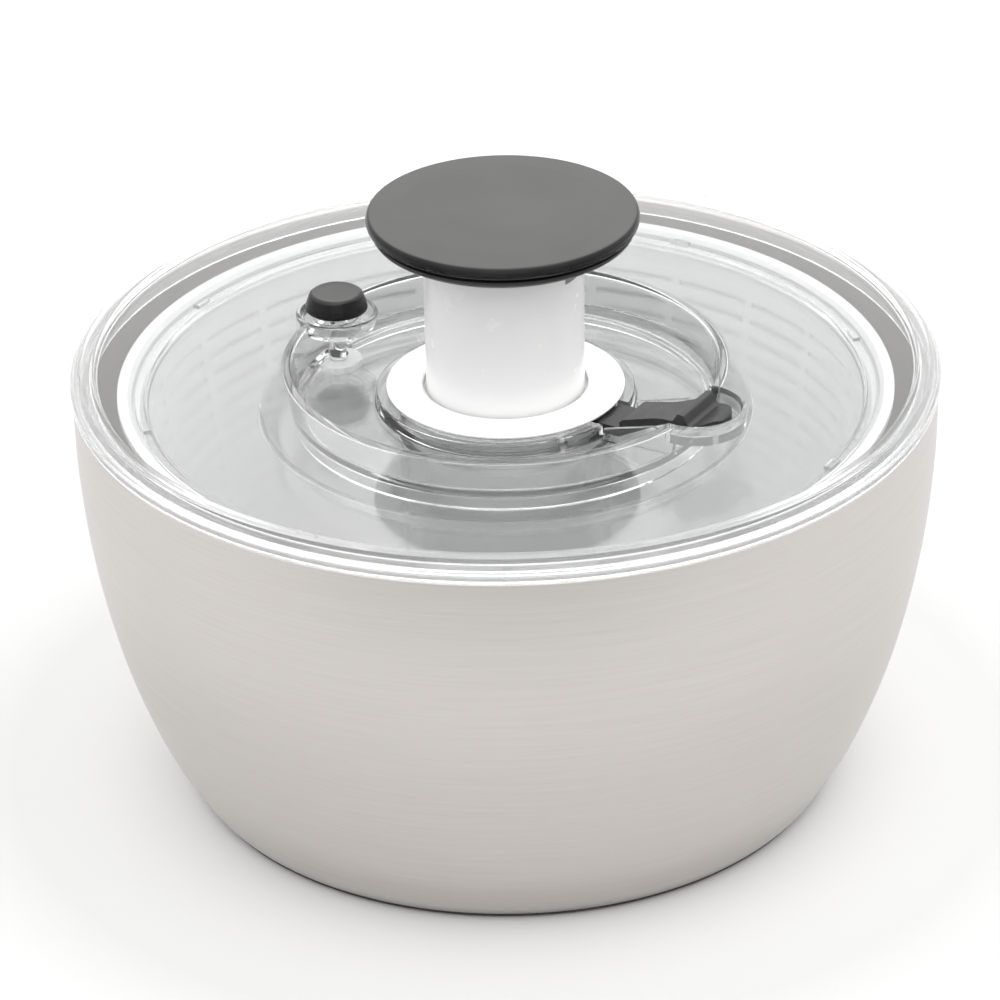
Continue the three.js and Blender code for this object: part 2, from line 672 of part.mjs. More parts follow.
function lockLever() {
  const { half, bottom, top, tip } = LEVER_TONGUE;
  const shoulder = LEVER_SHOULDER;
  const slideOn = KEYHOLE.floor + 0.4;
  const side = [
    [tip, bottom], [44.5, bottom], [47, 127.6], [60.6, slideOn], [77.0, slideOn], [78.0, 135.6],
    [77.8, 138.2], [76.0, 138.6], [68.4, 136.6], [67.6, 139.9], [65.4, 139.9], [63.6, 136.9],
    [45.4, 131.9], [44.3, 130.9], [44.3, top], [tip, top],
  ];
  const plan = [
    [tip - 1, -half], [shoulder.x - 0.4, -half], [shoulder.x, -shoulder.half], [45, -shoulder.half],
    [56, -6.2], [61, -7.4], [64.5, -9.0], [68.5, -9.3], [73, -8.0], [76.6, -5.0], [78.3, 0],
  ];
  const mirrored = plan.slice(0, -1).reverse().map(([x, y]) => [x, -y]);
  return common(sideways(side, -12, 12), raised([...plan, ...mirrored], 120, 145));
}
place("lock_lever", lockLever(), materials.charcoal);

export default root;
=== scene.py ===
"""A salad spinner with a brushed steel bowl and a clear pump lid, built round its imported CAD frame.

Outlines are written in millimetres in the frame's own axes (+Z up, +X through the lock lever) and become
metres when a mesh is made. Sizes come from the CAD nodes' boxes where a node gives them.
"""

import json
import math

import bmesh
import bpy
from mathutils import Matrix, Vector


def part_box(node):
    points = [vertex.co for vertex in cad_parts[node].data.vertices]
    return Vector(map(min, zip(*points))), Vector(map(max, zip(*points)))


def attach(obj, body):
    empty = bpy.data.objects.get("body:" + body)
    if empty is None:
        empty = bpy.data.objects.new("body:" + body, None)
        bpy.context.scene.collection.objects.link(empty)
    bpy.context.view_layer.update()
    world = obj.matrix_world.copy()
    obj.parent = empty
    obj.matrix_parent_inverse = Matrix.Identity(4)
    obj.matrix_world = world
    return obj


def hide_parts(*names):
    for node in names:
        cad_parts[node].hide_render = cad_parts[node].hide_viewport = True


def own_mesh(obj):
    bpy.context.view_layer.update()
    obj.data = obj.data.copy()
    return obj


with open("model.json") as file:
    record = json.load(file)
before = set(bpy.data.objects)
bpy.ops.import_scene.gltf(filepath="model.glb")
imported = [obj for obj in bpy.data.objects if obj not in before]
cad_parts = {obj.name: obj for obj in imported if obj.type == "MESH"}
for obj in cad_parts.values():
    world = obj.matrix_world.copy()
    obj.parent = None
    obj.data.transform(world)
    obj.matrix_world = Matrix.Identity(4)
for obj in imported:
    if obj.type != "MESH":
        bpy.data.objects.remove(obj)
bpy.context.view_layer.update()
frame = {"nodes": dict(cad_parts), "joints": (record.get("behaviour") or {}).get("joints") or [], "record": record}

MM = 0.001
ROUND = 288  # steps round the bowl, basket, lid and turntable
ROUND_SMALL = 128  # steps round the knob, plunger, collar and button
SHARP = math.radians(32)


def low(node):
    """The lowest corner of a CAD node's box, in millimetres."""
    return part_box(node)[0] / MM


def high(node):
    """The highest corner of a CAD node's box, in millimetres."""
    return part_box(node)[1] / MM


# Sizes in millimetres: most are read from the frame, the rest are the CAD's own
BOWL_R = high("bowl").x
BOWL_TOP = high("bowl").z
LID_R = high("lid_cover").x
CREST = high("lid_cover").z
PLATE = CREST - 2.0
PLATE_UNDER = PLATE - 2.2
LIP_BOTTOM = low("lid_cover").z
COLLAR_R = high("collar").x
COLLAR_TOP = high("collar").z
TUBE_R = 24.6
TUBE_TOP = high("plunger_tube").z
TUBE_BOTTOM = low("plunger_tube").z
KNOB_R = high("knob_cap").x
KNOB_TOP = high("knob_cap").z
KNOB_DECK = low("knob_cap").z
BUTTON_X = (low("brake_button").x + high("brake_button").x) / 2
BUTTON_TOP = high("brake_button").z
POCKET_X = 67.0
POCKET_R = 13.5
DISH_R = 13.0
DISH_FLOOR = 136.6
DISH_RIM = 140.4
WELL_R = 66.0
WELL_FLOOR = 125.5
CREST_INSIDE = 126.2  # the lid's raised edge lies outside this radius
SCREW_CIRCLE = 33.0  # radius of the housing's screws and the collar's pins
TONGUE_WINDOW = 4.3  # half the width of the windows for the lever's tongue
WINDOW_BOTTOM = 125.4
TRAVEL = {joint["name"]: joint["range_m"][1] / MM for joint in frame["joints"] if "range_m" in joint}


# Mesh helpers

def make(name, points, faces):
    """A mesh object from points in millimetres, with its faces turned outwards."""
    mesh = bpy.data.meshes.new(name)
    mesh.from_pydata([Vector(p) * MM for p in points], [], faces)
    work = bmesh.new()
    work.from_mesh(mesh)
    bmesh.ops.recalc_face_normals(work, faces=work.faces)
    work.to_mesh(mesh)
    work.free()
    piece = bpy.data.objects.new(name, mesh)
    bpy.context.scene.collection.objects.link(piece)
    shade(piece)
    return piece


def shade(piece):
    """Smooth shading, with an edge where the surface turns sharply."""
    mesh = piece.data
    mesh.polygons.foreach_set("use_smooth", [True] * len(mesh.polygons))
    mesh.set_sharp_from_angle(angle=SHARP)


def apply_modifiers(piece):
    bpy.context.view_layer.update()
    evaluated = piece.evaluated_get(bpy.context.evaluated_depsgraph_get())
    mesh = bpy.data.meshes.new_from_object(evaluated)
    piece.modifiers.clear()
    piece.data = mesh


def bake(piece):
    """Applies a piece's modifiers, and shades what they made."""
    apply_modifiers(piece)
    shade(piece)


def level_normals(piece):
    """Weights a piece's normals by face area, so that flat faces stay flat beside rounded edges."""
    modifier = piece.modifiers.new("normals", "WEIGHTED_NORMAL")
    modifier.keep_sharp = True
    modifier.weight = 80
    apply_modifiers(piece)


def combine(piece, others, operation):
    """Joins the others to a piece, or cuts them from it."""
    for other in others:
        modifier = piece.modifiers.new(operation, "BOOLEAN")
        modifier.operation = operation
        modifier.solver = "MANIFOLD"
        modifier.object = other
    bake(piece)
    for other in others:
        bpy.data.objects.remove(other)
    return piece


def rounded(corners, degrees_per_step=12):
    """A closed outline from corners (a, b) or (a, b, radius). A corner with a radius becomes an arc."""
    outline = []
    for i, corner in enumerate(corners):
        here = Vector(corner[:2])
        if len(corner) == 2:
            outline.append(tuple(here))
            continue
        to_last = Vector(corners[i - 1][:2]) - here
        to_next = Vector(corners[(i + 1) % len(corners)][:2]) - here
        half = to_last.angle(to_next) / 2
        reach = min(corner[2] / math.tan(half), 0.48 * to_last.length, 0.48 * to_next.length)
        radius = reach * math.tan(half)
        centre = here + (to_last.normalized() + to_next.normalized()).normalized() * radius / math.sin(half)
        start = here + to_last.normalized() * reach - centre
        end = here + to_next.normalized() * reach - centre
        sweep = math.atan2(start.x * end.y - start.y * end.x, start.dot(end))
        steps = max(2, round(abs(math.degrees(sweep)) / degrees_per_step))
        for k in range(steps + 1):
            a = sweep * k / steps
            outline.append((
                centre.x + start.x * math.cos(a) - start.y * math.sin(a),
                centre.y + start.x * math.sin(a) + start.y * math.cos(a),
            ))
    return outline


def curve_through(knots, steps=6):
    """A smooth curve through the knots."""
    padded = [knots[0], *knots, knots[-1]]
    curve = []
    for i in range(1, len(padded) - 2):
        p0, p1, p2, p3 = (Vector(p) for p in padded[i - 1:i + 3])
        for k in range(steps):
            t = k / steps
            point = 0.5 * ((2 * p1) + (p2 - p0) * t + (2 * p0 - 5 * p1 + 4 * p2 - p3) * t * t
                           + (3 * p1 - p0 - 3 * p2 + p3) * t * t * t)
            curve.append(tuple(point))
    curve.append(tuple(knots[-1]))
    return curve


def turned(name, outline, steps=ROUND, x=0.0):
    """A solid of revolution about the vertical line through (x, 0). The outline is a list of (radius, height)
    that starts and ends on the axis, or closes on itself."""
    points, faces, rings = [], [], []
    for radius, height in outline:
        first = len(points)
        count = 1 if radius < 1e-6 else steps
        for i in range(count):
            a = 2 * math.pi * i / steps
            points.append((x + radius * math.cos(a), radius * math.sin(a), height))
        rings.append(range(first, first + count))
    if outline[0][0] > 1e-6:
        rings.append(rings[0])
    for ring, following in zip(rings, rings[1:]):
        for i in range(steps):
            j = (i + 1) % steps
            corners = [ring[i % len(ring)], ring[j % len(ring)],
                       following[j % len(following)], following[i % len(following)]]
            face = list(dict.fromkeys(corners))
            if len(face) > 2:
                faces.append(face)
    return make(name, points, faces)


def extruded(name, outline, bottom, top):
    """A flat (x, y) outline raised from bottom to top."""
    count = len(outline)
    points = [(x, y, bottom) for x, y in outline] + [(x, y, top) for x, y in outline]
    faces = [list(range(count))[::-1], list(range(count, 2 * count))]
    faces += [[i, (i + 1) % count, count + (i + 1) % count, count + i] for i in range(count)]
    return make(name, points, faces)


def sideways(name, outline, y0, y1):
    """A side view of (x, z) points, given a width along Y."""
    count = len(outline)
    points = [(x, y0, z) for x, z in outline] + [(x, y1, z) for x, z in outline]
    faces = [list(range(count)), list(range(count, 2 * count))[::-1]]
    faces += [[i, (i + 1) % count, count + (i + 1) % count, count + i] for i in range(count)]
    return make(name, points, faces)


def circle(x, radius, steps):
    """A circle's (x, y) points, centred on (x, 0)."""
    return [(x + radius * math.cos(2 * math.pi * i / steps), radius * math.sin(2 * math.pi * i / steps))
            for i in range(steps)]


def drum(radius, bottom, top, x=0.0, steps=96):
    """A plain cylinder used to cut or join."""
    return extruded("drum", circle(x, radius, steps), bottom, top)


def brick(x0, x1, y0, y1, z0, z1):
    """A plain box used to cut or join."""
    return extruded("brick", [(x0, y0), (x1, y0), (x1, y1), (x0, y1)], z0, z1)


def moved_out(piece, radius, degrees):
    """Moves a piece out from the axis by a radius, at an angle from +X."""
    a = math.radians(degrees)
    piece.data.transform(Matrix.Translation((radius * MM * math.cos(a), radius * MM * math.sin(a), 0)))
    return piece


def soften(piece, width):
    """Rounds a piece's sharp edges."""
    modifier = piece.modifiers.new("edges", "BEVEL")
    modifier.width = width * MM
    modifier.segments = 3
    modifier.limit_method = "ANGLE"
    modifier.angle_limit = math.radians(35)
    bake(piece)


# Materials

def spread(tree, value, low_end, high_end, start=0.3, end=0.7):
    """Maps a value from start..end onto low_end..high_end, and holds it at the ends."""
    span = tree.nodes.new("ShaderNodeMapRange")
    for socket, number in zip(("From Min", "From Max", "To Min", "To Max"), (start, end, low_end, high_end)):
        span.inputs[socket].default_value = number
    tree.links.new(value, span.inputs["Value"])
    return span.outputs["Result"]


class Finish:
    """A Principled material, and the nodes that give it its surface detail."""

    def __init__(self, name, **sockets):
        self.material = bpy.data.materials.new(name)
        self.material.use_nodes = True
        self.tree = self.material.node_tree
        self.shader = self.tree.nodes["Principled BSDF"]
        self.last_bump = None
        for socket, value in sockets.items():
            self.shader.inputs[socket.replace("_", " ")].default_value = value

    def node(self, kind, **settings):
        made = self.tree.nodes.new(kind)
        for key, value in settings.items():
            setattr(made, key, value)
        return made

    def link(self, source, target):
        self.tree.links.new(source, target)

    def noise(self, scale, detail=3.0):
        """Noise in the object's own coordinates. scale is in cycles per metre: one, or one for each axis."""
        scale = (scale,) * 3 if isinstance(scale, (int, float)) else scale
        place = self.node("ShaderNodeTexCoord")
        mapping = self.node("ShaderNodeMapping")
        mapping.inputs["Scale"].default_value = scale
        noise = self.node("ShaderNodeTexNoise")
        noise.inputs["Scale"].default_value = 1.0
        noise.inputs["Detail"].default_value = detail
        noise.inputs["Roughness"].default_value = 0.55
        self.link(place.outputs["Object"], mapping.inputs["Vector"])
        self.link(mapping.outputs["Vector"], noise.inputs["Vector"])
        return noise.outputs["Fac"]

    def colour(self, value, first, second):
        """The base colour goes from the first colour to the second as the noise rises."""
        mix = self.node("ShaderNodeMix", data_type="RGBA")
        mix.inputs["A"].default_value = (*first, 1)
        mix.inputs["B"].default_value = (*second, 1)
        self.link(spread(self.tree, value, 0, 1), mix.inputs["Factor"])
        self.link(mix.outputs["Result"], self.shader.inputs["Base Color"])
        return self

    def rough(self, value, smoothest, roughest):
        self.link(spread(self.tree, value, smoothest, roughest), self.shader.inputs["Roughness"])
        return self

    def bump(self, value, depth, strength=1.0):
        """Adds relief, depth in millimetres, over any relief that is there already."""
        bump = self.node("ShaderNodeBump")
        bump.inputs["Distance"].default_value = depth * MM
        bump.inputs["Strength"].default_value = strength
        self.link(value, bump.inputs["Height"])
        if self.last_bump:
            self.link(self.last_bump, bump.inputs["Normal"])
        self.last_bump = bump.outputs["Normal"]
        self.link(self.last_bump, self.shader.inputs["Normal"])
        return self

    def lets_lamps_through(self, tint):
        """Rays towards a lamp pass straight through, so that what is behind clear plastic is lit."""
        output = self.tree.nodes["Material Output"]
        path = self.node("ShaderNodeLightPath")
        through = self.node("ShaderNodeBsdfTransparent")
        through.inputs["Color"].default_value = (*tint, 1)
        mix = self.node("ShaderNodeMixShader")
        self.link(path.outputs["Is Shadow Ray"], mix.inputs["Fac"])
        self.link(self.shader.outputs["BSDF"], mix.inputs[1])
        self.link(through.outputs["BSDF"], mix.inputs[2])
        self.link(mix.outputs["Shader"], output.inputs["Surface"])


def brushed_steel():
    """Steel brushed round the bowl: fine level lines of differing length."""
    steel = Finish("bowl_steel", Metallic=1.0, Anisotropic=0.45)
    fine = steel.noise((45, 45, 2600), detail=4)
    lines = steel.noise((24, 24, 1300), detail=4)
    cloud = steel.noise(7, detail=2)
    steel.colour(lines, (0.592, 0.563, 0.539), (0.628, 0.598, 0.572))
    steel.rough(cloud, 0.38, 0.42)
    steel.bump(fine, 0.006, 0.26).bump(lines, 0.006, 0.12)
    tangent = steel.node("ShaderNodeTangent", direction_type="RADIAL", axis="Z")
    steel.link(tangent.outputs["Tangent"], steel.shader.inputs["Tangent"])
    return steel.material


def bright_steel():
    """Drawn wire, turned shafts and plated screws."""
    steel = Finish("hardware_steel", Metallic=1.0)
    steel.colour(steel.noise(240), (0.60, 0.60, 0.61), (0.70, 0.70, 0.71))
    steel.rough(steel.noise(600), 0.18, 0.3)
    steel.bump(steel.noise((300, 300, 3000)), 0.01, 0.2)
    return steel.material


def brass():
    """Turned brass of the bearings."""
    metal = Finish("bearing_brass", Metallic=1.0)
    metal.colour(metal.noise(300), (0.66, 0.50, 0.24), (0.76, 0.60, 0.32))
    metal.rough(metal.noise(900), 0.24, 0.38)
    metal.bump(metal.noise(2500), 0.008, 0.3)
    return metal.material


def clear_plastic(name, clearness, tone, smoothest, roughest, bending=1.4):
    """Clear moulded plastic with faint flow waves and light scuffs. It is milkier the less its clearness."""
    plastic = Finish(name, Transmission_Weight=clearness, IOR=bending)
    plastic.colour(plastic.noise(12), (tone - 0.02, tone - 0.015, tone - 0.015), (tone, tone, tone))
    plastic.rough(plastic.noise(55, detail=5), smoothest, roughest)
    plastic.bump(plastic.noise(28, detail=1), 0.02, 0.1).bump(plastic.noise(1200), 0.002, 0.05)
    plastic.lets_lamps_through((0.98, 0.985, 0.985))
    return plastic.material


def frosted_plastic(name, tone):
    """Milky translucent plastic of the basket and, paler, of the mechanism's housing."""
    plastic = Finish(name, Transmission_Weight=0.45, IOR=1.45)
    plastic.colour(plastic.noise(20), (tone - 0.05, tone - 0.045, tone - 0.045), (tone, tone, tone))
    plastic.rough(plastic.noise(160, detail=4), 0.38, 0.5)
    plastic.bump(plastic.noise(2200), 0.01, 0.3)
    return plastic.material


def white_plastic():
    """Glossy white plastic of the plunger and the collar."""
    plastic = Finish("white_plastic", IOR=1.5)
    plastic.colour(plastic.noise(18), (0.81, 0.815, 0.81), (0.85, 0.85, 0.845))
    plastic.rough(plastic.noise(90, detail=5), 0.24, 0.28)
    plastic.bump(plastic.noise(1500), 0.004, 0.2)
    return plastic.material


def charcoal_plastic():
    """Satin dark grey plastic."""
    plastic = Finish("charcoal_plastic", IOR=1.36)
    plastic.colour(plastic.noise(60), (0.022, 0.022, 0.023), (0.034, 0.034, 0.034))
    plastic.rough(plastic.noise(200, detail=5), 0.26, 0.38)
    plastic.bump(plastic.noise(2600), 0.012, 0.3)
    return plastic.material


def black_grip():
    """Soft black grip, satin on its flat top and darker and glossier at its sides; its upward-facing top is
    painted paler as a painted sheen, with light random scuffs.
    """
    grip = Finish("black_grip", IOR=1.3)
    place = grip.node("ShaderNodeTexCoord")
    axes = grip.node("ShaderNodeSeparateXYZ")
    grip.link(place.outputs["Normal"], axes.inputs["Vector"])
    # painted sheen: faces that look up are painted paler grey, in place of the lamp's sheen on the knob's top
    flat = spread(grip.tree, axes.outputs["Z"], 0.0, 0.85, 0.8, 0.995)
    scuff = spread(grip.tree, grip.noise(45, detail=5), 0.0, 0.15)
    sheen_and_scuff = grip.node("ShaderNodeMath", operation="ADD")
    grip.link(flat, sheen_and_scuff.inputs[0])
    grip.link(scuff, sheen_and_scuff.inputs[1])
    # from the dark side colour to the paler painted-sheen colour of the top
    mix = grip.node("ShaderNodeMix", data_type="RGBA")
    mix.inputs["A"].default_value = (0.004, 0.004, 0.004, 1)
    mix.inputs["B"].default_value = (0.07, 0.07, 0.0685, 1)
    grip.link(sheen_and_scuff.outputs["Value"], mix.inputs["Factor"])
    grip.link(mix.outputs["Result"], grip.shader.inputs["Base Color"])
    polish = spread(grip.tree, sheen_and_scuff.outputs["Value"], 0.22, 0.42, 0.0, 1.0)
    grip.link(polish, grip.shader.inputs["Roughness"])
    grip.bump(grip.noise(3200), 0.006, 0.3).bump(grip.noise((60, 420, 60), detail=2), 0.004, 0.15)
    return grip.material


def rubber(name, tone):
    """Matt rubber, a little mottled."""
    matt = Finish(name, IOR=1.5)
    matt.colour(matt.noise(120), (tone - 0.02, tone - 0.02, tone - 0.02), (tone, tone, tone))
    matt.rough(matt.noise(300), 0.65, 0.8)
    matt.bump(matt.noise(1800), 0.03, 0.4)
    return matt.material


FINISHES = {
    "bowl_steel": brushed_steel(),
    "hardware_steel": bright_steel(),
    "bearing_brass": brass(),
    "clear_plastic": clear_plastic("clear_plastic", 0.988, 0.985, 0.02, 0.06),
    "frosted_plastic": frosted_plastic("frosted_plastic", 0.67),
    "white_plastic": white_plastic(),
    "charcoal_plastic": charcoal_plastic(),
    "black_grip": black_grip(),
    "foot_rubber": rubber("foot_rubber", 0.04),
}
HAZY = clear_plastic("hazy_plastic", 0.98, 0.94, 0.08, 0.12, 1.3)
CLEAR_EDGE = clear_plastic("clear_plastic_edge", 0.88, 0.91, 0.08, 0.14)
PALE_HOUSING = frosted_plastic("pale_housing", 0.84)
PALE_RUBBER = rubber("pale_rubber", 0.74)
SLOT_OF = {part["node"]: part["material_slot"] for part in frame["record"]["subparts"]}
BODY_OF = {node: body for body, nodes in frame["record"]["behaviour"]["bodies"].items() for node in nodes}


def stands_for(piece, node, finish=None):
    """A piece takes the place and body of a CAD node, and its slot's finish unless it is given another."""
    slot = SLOT_OF[node]
    level_normals(piece)
    piece.data.materials.clear()
    piece.data.materials.append(finish or FINISHES[slot])
    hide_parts(node)
    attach(piece, BODY_OF[node])
    return piece


# Bowl and foot

def bowl():
    """A deep drawn bowl: smooth outside, even wall, and its mouth rolled inwards into a bead."""
    floor_under = low("bowl").z
    wall = 0.9
    side = curve_through([
        (102.2, floor_under), (104.4, 4.3), (107.6, 10.2), (112.9, 20), (118.8, 35), (123.6, 50.4),
        (128.1, 70), (131.3, 90), (133.1, 110), (BOWL_R, 124), (BOWL_R, BOWL_TOP - 1.2)])
    bead = rounded([side[-1], (BOWL_R, BOWL_TOP, 1.1), (BOWL_R - 2.4, BOWL_TOP, 1.1),
                    (BOWL_R - 2.4, BOWL_TOP - 2.6, 0.8), (BOWL_R - wall, BOWL_TOP - 3.4)])
    inside = [(r - wall, z + wall * (1 - z / BOWL_TOP)) for r, z in reversed(side[:-1])]
    outline = [(0, floor_under), (96, floor_under), *side[:-1], *bead, *inside,
               (95, floor_under + wall), (0, floor_under + wall)]
    return stands_for(turned("bowl_shell", outline), "bowl")


def foot():
    """The non-slip ring, with grooves in its underside."""
    outer, thick = high("foot_ring").x, high("foot_ring").z
    inner = 91.0
    underside = []
    for groove in (93.5, 96.0, 98.5):
        underside += [(groove - 0.5, 0), (groove - 0.3, 0.4), (groove + 0.3, 0.4), (groove + 0.5, 0)]
    outline = [(inner, 0), *underside, *rounded([(outer - 0.9, 0), (outer, 0.4, 0.5), (outer, thick - 0.2)]),
               (outer - 0.3, thick), (inner, thick)]
    return stands_for(turned("foot_pad", outline), "foot_ring")


# Basket

def basket():
    """A frosted tub with rows of long slots between ribs, in its wall and its floor."""
    top = high("basket").z
    thick = 1.7
    steps, rib_every = 240, 10
    floor_z, floor_r = 9.6, 82.0
    slot_pitch, slot_high, first_gap = 6.1, 1.9, 2.2
    last_slot = 119.0
    wall_top_r, wall_top_z = 113.4, 122.0
    floor_rows = [(9.5, floor_z)]
    radius = 16.0
    slot_rows = set()
    while radius < floor_r - slot_pitch / 2:
        slot_rows.add(len(floor_rows))
        floor_rows += [(radius, floor_z), (radius + slot_high, floor_z)]
        radius += slot_pitch
    corner = curve_through([(floor_r, floor_z), (88.4, 10.7), (92.6, 15.4), (95.2, 20.4)], 4)
    rows = floor_rows + corner
    height = corner[-1][1]

    def wall_radius(z):
        """The wall leans out less and less towards its top."""
        t = (z - corner[-1][1]) / (wall_top_z - corner[-1][1])
        return corner[-1][0] + (wall_top_r - corner[-1][0]) * (1 - (1 - t) ** 1.35)

    while height + slot_high < last_slot:
        slot_rows.add(len(rows))
        rows += [(wall_radius(z), z) for z in (height + first_gap, height + first_gap + slot_high)]
        height += slot_pitch
    rows += [(wall_top_r, 122.4), (113.9, 124.6), (115.4, 125.6), (116.2, 126.4), (116.4, 129.0),
             (117.2, 129.9), (120.0, top - thick / 2)]
    points, faces = [], []
    for r, z in rows:
        points += [(r * math.cos(2 * math.pi * i / steps), r * math.sin(2 * math.pi * i / steps), z)
                   for i in range(steps)]
    for k in range(len(rows) - 1):
        for i in range(steps):
            if k in slot_rows and i % rib_every:
                continue
            j = (i + 1) % steps
            faces.append([k * steps + i, k * steps + j, (k + 1) * steps + j, (k + 1) * steps + i])
    tub = make("basket_tub", points, faces)
    solidify = tub.modifiers.new("wall", "SOLIDIFY")
    solidify.thickness = thick * MM
    solidify.offset = 0.0
    bake(tub)
    socket = turned("socket", rounded([
        (3.9, 8.6), (10.4, 8.6, 0.6), (10.4, 10.6, 0.6), (7.2, 16.2, 1.0), (0, 16.6), (0, 14.0),
        (3.9, 14.0)]), 48)
    combine(tub, [socket], "UNION")
    return stands_for(tub, "basket")


# Lid

def lid_outline():
    """The lid's section: crest and skirt, the plate, and the well down to the boss under the collar."""
    return rounded([
        (128.2, PLATE_UNDER, 0.6), (128.2, 129.8, 0.4), (130.0, 129.8, 0.4),
        (130.0, PLATE_UNDER - 0.2, 0.6),
        (131.8, PLATE_UNDER - 0.8, 0.6), (131.8, 134.6, 0.3), (LID_R, 134.6, 0.4), (LID_R, 138.4, 0.9),
        (132.9, 139.4, 0.8), (130.9, CREST - 0.2, 0.9), (129.0, CREST, 0.8), (127.0, CREST, 0.9),
        (125.8, PLATE, 0.8),
        (WELL_R + 0.3, PLATE, 0.9), (WELL_R - 1.2, WELL_FLOOR + 1.6, 1.2), (WELL_R - 3.0, WELL_FLOOR, 2.2),
        (40.4, WELL_FLOOR, 0.9), (40.0, 129.4, 0.5), (36.0, 129.4, 0.3), (36.0, 126.7), (30.2, 126.7),
        (30.2, WELL_FLOOR - 2.2, 0.3), (62.3, WELL_FLOOR - 2.2, 0.8), (63.7, LIP_BOTTOM, 0.4),
        (66.2, LIP_BOTTOM, 0.4), (68.2, PLATE_UNDER, 1.2),
    ])


def lid():
    """The clear moulding: the turned lid, the button's dish, the lever's pocket and its two rails."""
    dish_wall, pocket_wall, pocket_floor = 1.6, 1.8, 134.0
    stem_hole, pad_room = 3.2, 8.8
    below, above = 110, 150
    cover = turned("lid_moulding", lid_outline())
    dish = turned("dish", rounded([
        (0, DISH_FLOOR - dish_wall), (DISH_R - 1.4, DISH_FLOOR - dish_wall, 0.8),
        (DISH_R - 0.2, PLATE - 0.6, 2.0), (DISH_R, DISH_RIM, 0.8), (DISH_R - 1.5, DISH_RIM, 0.6),
        (DISH_R - 2.2, DISH_FLOOR, 1.0), (0, DISH_FLOOR)]), 96, BUTTON_X)
    well_room = drum(WELL_R - 0.7, below, above, steps=ROUND)
    pocket = combine(drum(POCKET_R + pocket_wall, 132.0, PLATE - 0.9, POCKET_X), [well_room], "DIFFERENCE")
    rail = [(41, WELL_FLOOR - 1), (64.6, WELL_FLOOR - 1), (65.0, 136.6), (58, 134.5), (41, 129.4)]
    rails = [sideways("rail", rail, 9.7, 11.1), sideways("rail", rail, -11.1, -9.7)]
    combine(cover, [dish, pocket, *rails], "UNION")
    cuts = [
        turned("bowl_of_pocket", rounded([
            (0, pocket_floor), (POCKET_R, pocket_floor, 1.0), (POCKET_R + 0.2, PLATE - 0.5, 0.4),
            (POCKET_R + 1.0, PLATE + 0.4), (POCKET_R + 1.0, above), (0, above)]), 96, POCKET_X),
        drum(DISH_R - 2.4, DISH_FLOOR, above, BUTTON_X),
        drum(stem_hole, below, above, BUTTON_X, 32),
        drum(pad_room, below, WELL_FLOOR - 2.2, BUTTON_X, 48),
        brick(29, 42, -8.4, 8.4, 125.8, 135),
    ]
    cuts += [moved_out(drum(1.5, 120, 130, 0, 24), SCREW_CIRCLE, degrees) for degrees in (90, 210, 330)]
    combine(cover, cuts, "DIFFERENCE")
    stands_for(cover, "lid_cover")
    cover.data.materials.append(CLEAR_EDGE)
    for face in cover.data.polygons:
        if math.hypot(face.center.x, face.center.y) > CREST_INSIDE * MM:
            face.material_index = 1
    return cover


def housing():
    """The hazy cup under the lid that guides the plunger and carries the shaft."""
    bottom, top = low("mechanism_housing").z, high("mechanism_housing").z
    bore, wall = 27.6, 2.0
    cup = turned("housing_cup", rounded([
        (bore, top, 0.3), (35.7, top, 0.3), (35.7, 127.0, 0.3), (bore + wall, 127.0, 0.8),
        (bore + wall, bottom, 3.0), (7.0, bottom, 0.4), (7.0, 70.8, 0.4), (bore, 70.8, 2.0)]), ROUND_SMALL)
    ribs = [brick(-1.5, 1.5, side * 26.9 - 1.5, side * 26.9 + 1.5, 70, 128) for side in (-1, 1)]
    combine(cup, ribs, "UNION")
    windows = [brick(24, 40, -TONGUE_WINDOW, TONGUE_WINDOW, WINDOW_BOTTOM, 135),
               brick(30.3, 40, -7.6, 7.6, WINDOW_BOTTOM, 135)]
    combine(cup, windows, "DIFFERENCE")
    return stands_for(cup, "mechanism_housing", PALE_HOUSING)


def collar():
    """The white ring round the plunger, dished towards its middle."""
    under = 129.7
    ring = turned("collar_ring", rounded([
        (25.6, under), (COLLAR_R - 0.4, under, 0.4), (COLLAR_R, COLLAR_TOP - 0.6, 0.7),
        (COLLAR_R - 1.6, COLLAR_TOP, 0.8), (27.4, COLLAR_TOP - 0.1, 0.6), (26.6, COLLAR_TOP + 0.2, 0.4),
        (25.6, COLLAR_TOP - 0.2, 0.4)]), ROUND_SMALL)
    pins = [moved_out(drum(1.0, 127.4, under + 0.5, 0, 24), SCREW_CIRCLE, degrees)
            for degrees in (30, 150, 270)]
    combine(ring, pins, "UNION")
    return stands_for(ring, "collar")


# Plunger and knob

def plunger():
    """The white tube: a stop flange, a closed top, and a window for the lock at each end of its travel."""
    bore = TUBE_R - 2.5
    tube = turned("plunger_sleeve", rounded([
        (bore, TUBE_BOTTOM, 0.4), (TUBE_R, TUBE_BOTTOM, 0.4), (TUBE_R, 126.6), (27.2, 126.6, 0.3),
        (27.2, 129.2, 0.3), (TUBE_R, 129.2, 0.4), (TUBE_R, TUBE_TOP, 0.5), (2.0, TUBE_TOP),
        (2.0, TUBE_TOP - 2.9), (bore, TUBE_TOP - 2.9, 1.0)]), ROUND_SMALL)
    cuts = [brick(15, 30, -TONGUE_WINDOW, TONGUE_WINDOW, WINDOW_BOTTOM + raised, 129.6 + raised)
            for raised in (0, TRAVEL["plunger_press"])]
    cuts += [brick(-2, 2, side * 27 - 2, side * 27 + 2, 126, 130) for side in (-1, 1)]
    combine(tube, cuts, "DIFFERENCE")
    return stands_for(tube, "plunger_tube")


